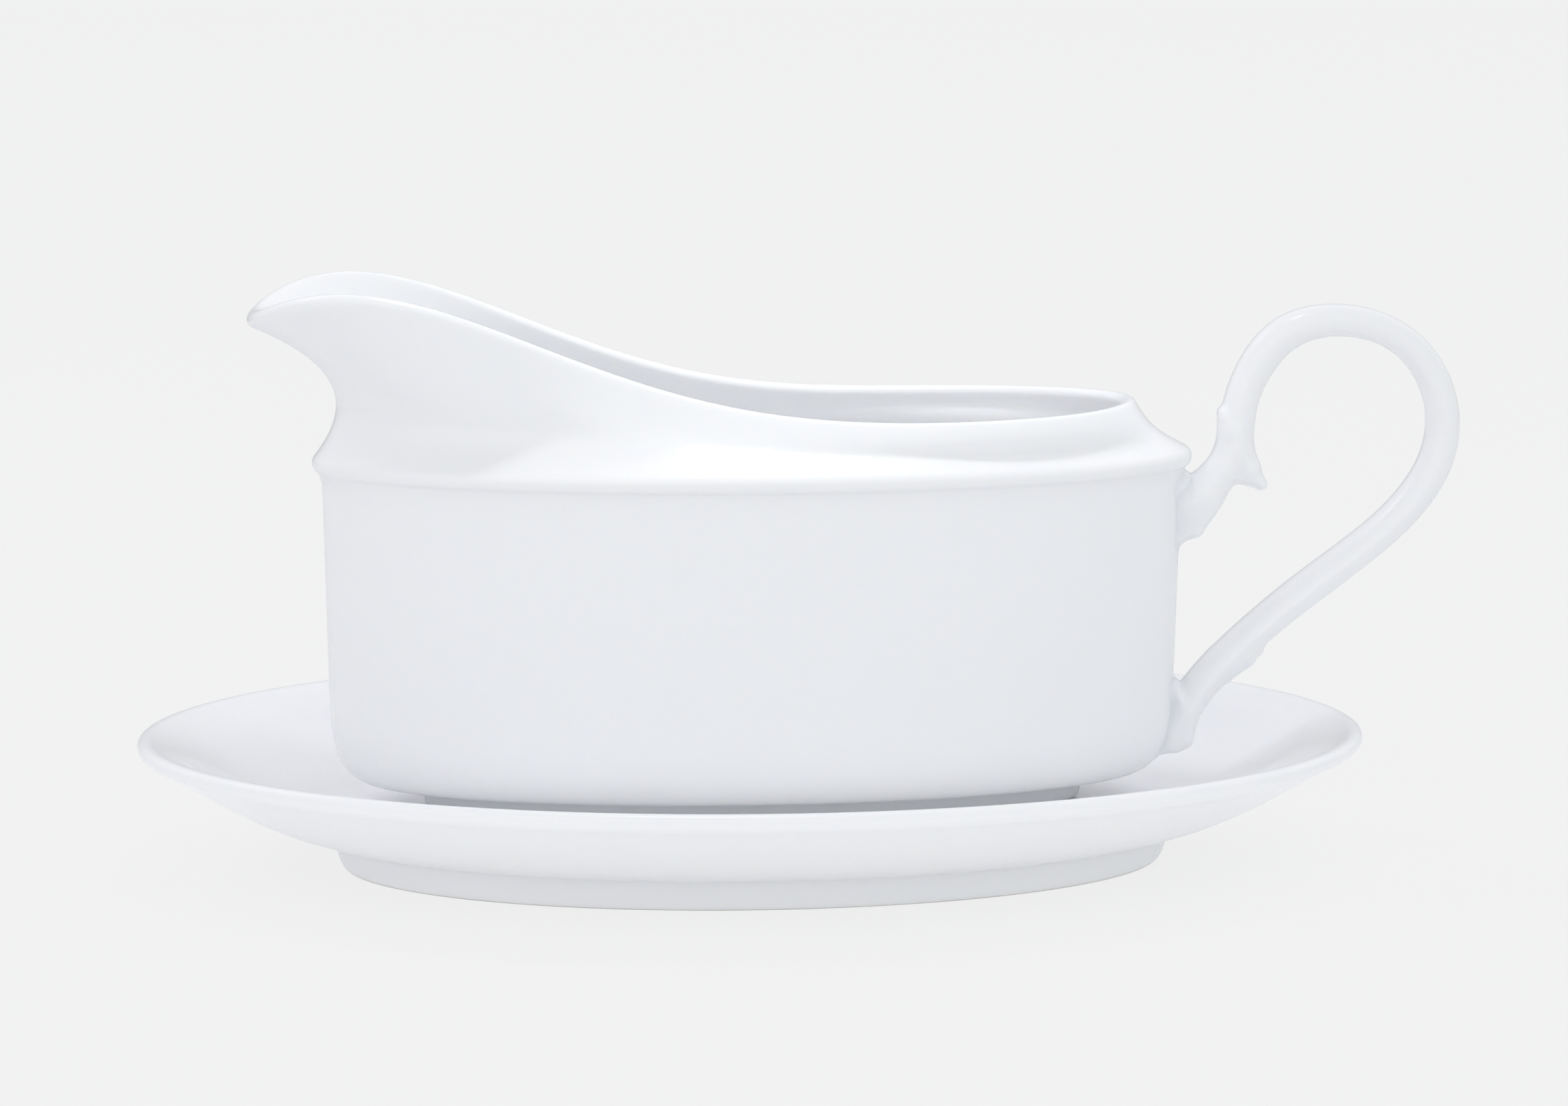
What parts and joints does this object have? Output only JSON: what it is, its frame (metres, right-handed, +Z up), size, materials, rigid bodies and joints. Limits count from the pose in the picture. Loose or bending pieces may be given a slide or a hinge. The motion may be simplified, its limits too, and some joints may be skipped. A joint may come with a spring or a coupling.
{
  "type": "gravy boat on underplate",
  "caption": "Oval porcelain gravy boat with a pouring spout, a luted loop handle and a loose oval underplate with a well.",
  "frame": {"origin": "on the table plane, under the middle of the underplate's foot ring", "axes": "+X towards the boat's handle, -X towards the pouring spout, +Y across the oval, +Z up"},
  "size_m": [0.2484, 0.1544, 0.1091],
  "materials": {
    "glazed_porcelain": "clear gloss glaze over white porcelain",
    "luting_slip": "fired porcelain slip under the same clear gloss glaze"
  },
  "bodies": {
    "underplate": {"underplate": "glazed_porcelain"},
    "boat": {"boat_body": "glazed_porcelain", "handle": "glazed_porcelain", "upper_luting_slip": "luting_slip", "lower_luting_slip": "luting_slip"}
  },
  "joints": [
    {"name": "boat_lift", "type": "slide", "parent": "underplate", "child": "boat", "axis": [0, 0, 1], "range_m": [0, 0.12]}
  ]
}
